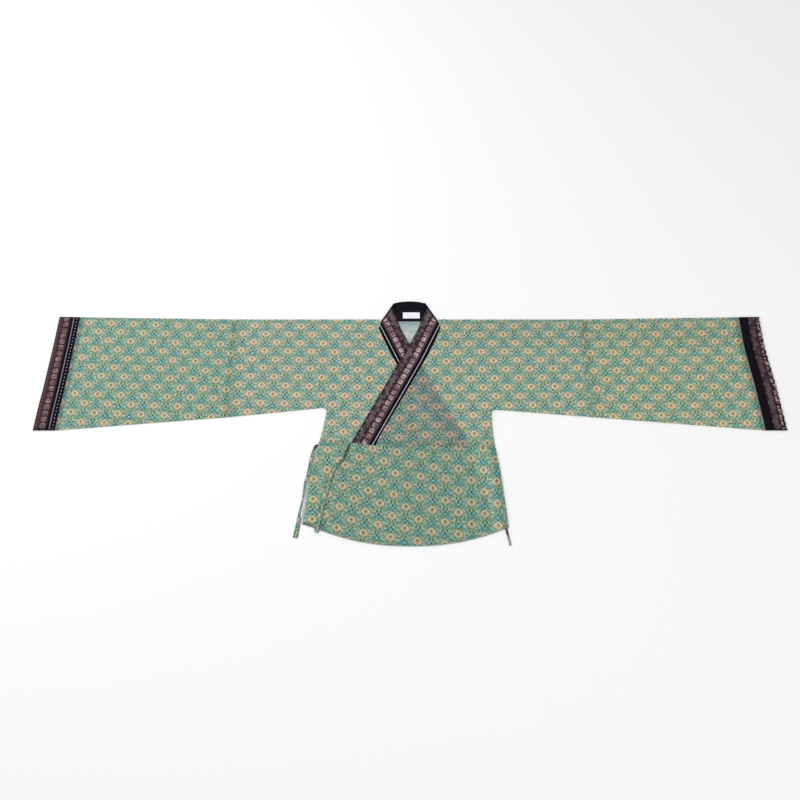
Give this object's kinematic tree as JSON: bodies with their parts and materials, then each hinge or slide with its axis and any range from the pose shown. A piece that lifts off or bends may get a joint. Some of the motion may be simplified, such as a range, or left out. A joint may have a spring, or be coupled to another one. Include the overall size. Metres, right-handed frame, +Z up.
{
  "type": "cross-collar hanfu top laid flat",
  "caption": "Short cross-collar robe top with wide straight sleeves, woven trim collar and cuffs, waist seam, flared lower panel and cloth ties, laid flat with the left front over the right.",
  "frame": {"origin": "on the surface the garment lies on, under the middle of its box", "axes": "+X along the sleeves towards the wearer's left sleeve, +Y from the hem to the collar, +Z up from the surface"},
  "size_m": [2.068, 0.7369, 0.0049],
  "materials": {
    "printed_cloth": "thin plain-weave cotton with a small half-drop print on a teal ground",
    "woven_trim": "jacquard-woven band with scroll, roundel and plain stripes",
    "dark_label": "plain dark woven strip",
    "white_label": "blank white woven tag"
  },
  "bodies": {
    "root": {"half_right": "printed_cloth", "half_left": "printed_cloth", "sleeve_end_right": "printed_cloth", "sleeve_end_left": "printed_cloth", "cuff_right": "woven_trim", "cuff_left": "woven_trim", "overlap_over": "printed_cloth", "overlap_under": "printed_cloth", "skirt_back": "printed_cloth", "skirt_under": "printed_cloth", "skirt_over": "printed_cloth", "collar": "woven_trim", "tie_side": "printed_cloth", "tie_collar": "printed_cloth", "tie_inner": "printed_cloth", "label_band": "dark_label", "label_tag": "white_label"}
  },
  "joints": []
}
